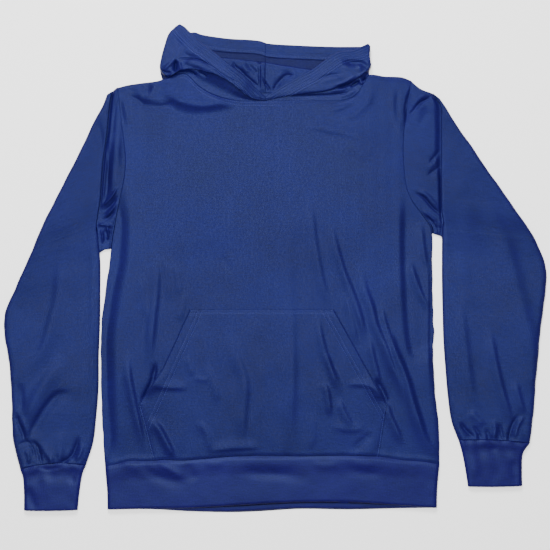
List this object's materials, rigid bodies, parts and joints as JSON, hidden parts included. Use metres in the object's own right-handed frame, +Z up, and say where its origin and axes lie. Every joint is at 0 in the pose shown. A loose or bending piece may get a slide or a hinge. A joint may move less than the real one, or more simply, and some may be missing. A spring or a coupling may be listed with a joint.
{
  "type": "pullover hoodie, laid flat",
  "caption": "Long-sleeved pullover hoodie in light blue-dyed jersey, lying flat on its back, with a hood, kangaroo pocket, ribbed cuffs and a ribbed waistband.",
  "frame": {"origin": "middle of the garment's outline, on the surface that it lies on", "axes": "+X towards the wearer's left sleeve, +Y towards the hood, +Z up from the surface"},
  "size_m": [0.903, 0.8129, 0.0244],
  "materials": {
    "jersey": "matte knitted jersey, plain blue",
    "rib": "fine rib knit, plain blue"
  },
  "bodies": {
    "root": {"front_panel": "jersey", "back_panel": "jersey", "pocket": "jersey", "sleeve_right": "jersey", "sleeve_left": "jersey", "hood_right": "jersey", "hood_left": "jersey", "waistband": "rib", "cuff_right": "rib", "cuff_left": "rib"}
  },
  "joints": []
}
